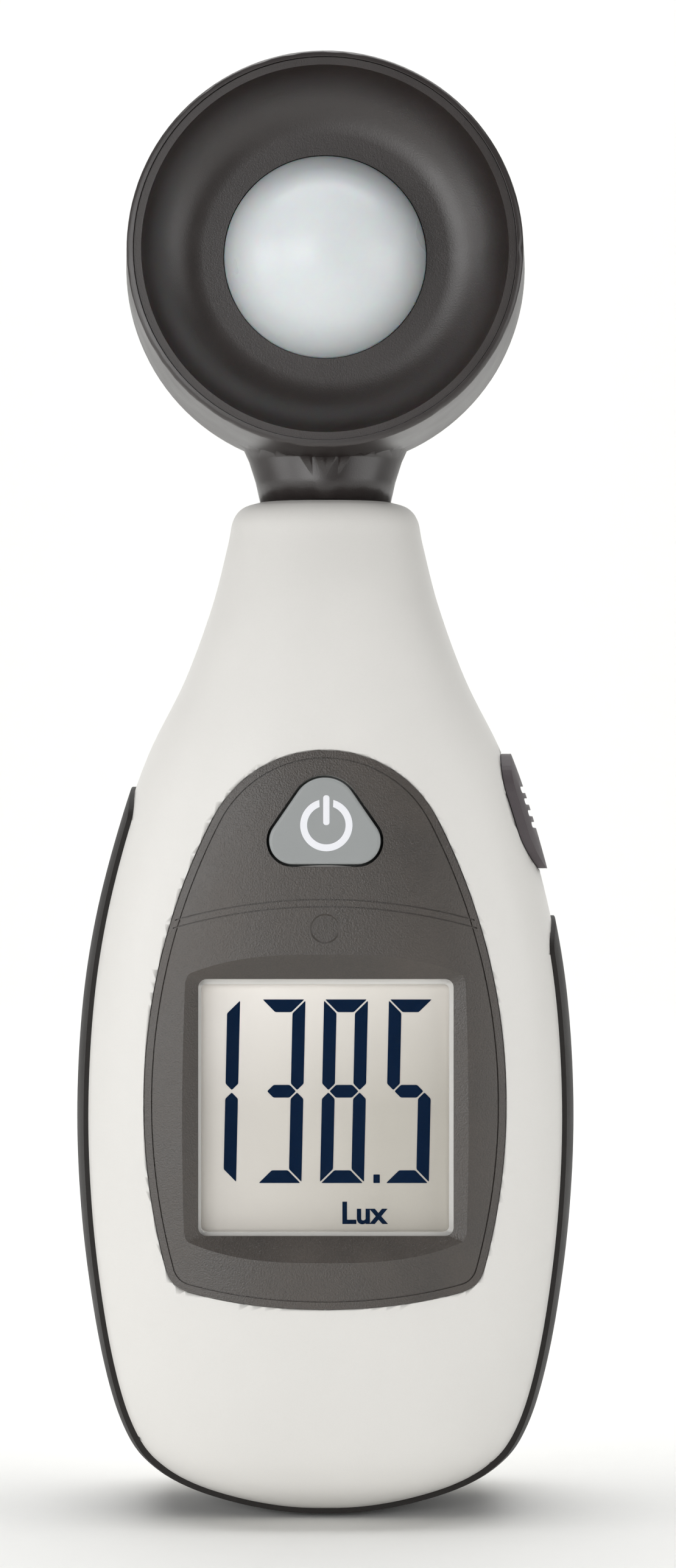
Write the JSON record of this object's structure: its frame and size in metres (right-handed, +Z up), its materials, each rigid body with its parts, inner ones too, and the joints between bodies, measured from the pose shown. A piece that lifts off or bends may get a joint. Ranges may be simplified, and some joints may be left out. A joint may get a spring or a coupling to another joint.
{
  "type": "handheld light meter",
  "caption": "Pocket light meter with a swivelling domed sensor head, square display, power key, side key, battery door and tripod socket.",
  "frame": {"origin": "mouth of the tripod socket, on the flat back, on the meter's middle line", "axes": "+Z up the meter towards the sensor head, -Y out of the display side, +Y out of the back, +X to the right of someone reading the display"},
  "size_m": [0.0554, 0.032, 0.1606],
  "materials": {
    "white_shell": "fine spark-eroded ABS, off-white",
    "soft_band": "soft-touch elastomer, fine grain, warm dark grey",
    "panel_plastic": "fine-grained elastomer film, warm dark grey",
    "clear_window": "polished acrylic",
    "display_glass": "display cell with a warm grey reflector behind it",
    "reflector_film": "satin film",
    "key_grey": "satin moulded key, mid grey",
    "key_dark": "soft key, purplish grey",
    "smoked_lens": "smoked red-brown lens",
    "head_plastic": "fine-textured ABS, near black",
    "dish_plastic": "satin black plastic",
    "dome_white": "translucent opal diffuser",
    "filter_green": "photopic filter glass",
    "black_plastic": "moulded black plastic",
    "natural_plastic": "natural acetal",
    "board_green": "solder-masked glass-fibre board",
    "chip_black": "moulded package",
    "parts_mixed": "sleeved capacitors",
    "steel": "zinc-plated steel",
    "bright_metal": "nickel-plated can",
    "brass": "turned brass",
    "cell_case": "printed steel case, plain dark blue-grey",
    "lead_red": "PVC insulation, red",
    "lead_black": "PVC insulation, black",
    "foam": "closed-cell foam",
    "zebra_rubber": "striped silicone connector"
  },
  "bodies": {
    "housing": {"front_housing": "white_shell", "rear_housing": "white_shell", "grip_band": "soft_band", "display_panel": "panel_plastic", "window_lens": "clear_window", "lcd_gasket": "black_plastic", "lcd_cell": "display_glass", "lcd_reflector": "reflector_film", "lcd_frame": "natural_plastic", "zebra_strips": "zebra_rubber", "main_board": "board_green", "board_screws": "steel", "microcontroller": "chip_black", "board_parts": "parts_mixed", "head_connector": "natural_plastic", "power_switch": "black_plastic", "side_board": "board_green", "side_switch": "black_plastic", "indicator_lens": "smoked_lens", "indicator_lamp": "dome_white", "battery": "cell_case", "battery_snap": "black_plastic", "battery_lead_red": "lead_red", "battery_lead_black": "lead_black", "tripod_insert": "brass", "housing_screws": "steel", "friction_washer": "soft_band", "sensor_lead_lower": "lead_black"},
    "power_button": {"power_key": "key_grey", "power_plunger": "black_plastic"},
    "side_button": {"side_key": "key_dark", "side_plunger": "black_plastic"},
    "door": {"battery_door": "white_shell", "door_pad": "foam"},
    "sensor_head": {"head_front_shell": "head_plastic", "head_rear_shell": "head_plastic", "dish_ring": "dish_plastic", "diffuser_dome": "dome_white", "dome_gasket": "black_plastic", "filter_glass": "filter_green", "photodiode": "bright_metal", "sensor_holder": "black_plastic", "sensor_board": "board_green", "sensor_chip": "chip_black", "head_screws": "steel", "swivel_collar": "natural_plastic", "sensor_lead_upper": "lead_black"}
  },
  "joints": [
    {"name": "head_swivel", "type": "hinge", "parent": "housing", "child": "sensor_head", "pos_m": [0, -0.0155, 0.0397], "axis": [0, 0, 1], "range_deg": [-90, 180]},
    {"name": "power_press", "type": "slide", "parent": "housing", "child": "power_button", "axis": [0, 1, 0], "range_m": [0, 0.0005], "stiffness_N_per_m": 2000},
    {"name": "side_press", "type": "slide", "parent": "housing", "child": "side_button", "axis": [-1, 0, 0], "range_m": [0, 0.0005], "stiffness_N_per_m": 2000},
    {"name": "door_hinge", "type": "hinge", "parent": "housing", "child": "door", "pos_m": [0, -0.001, -0.06085], "axis": [-1, 0, 0], "range_deg": [0, 70]}
  ]
}
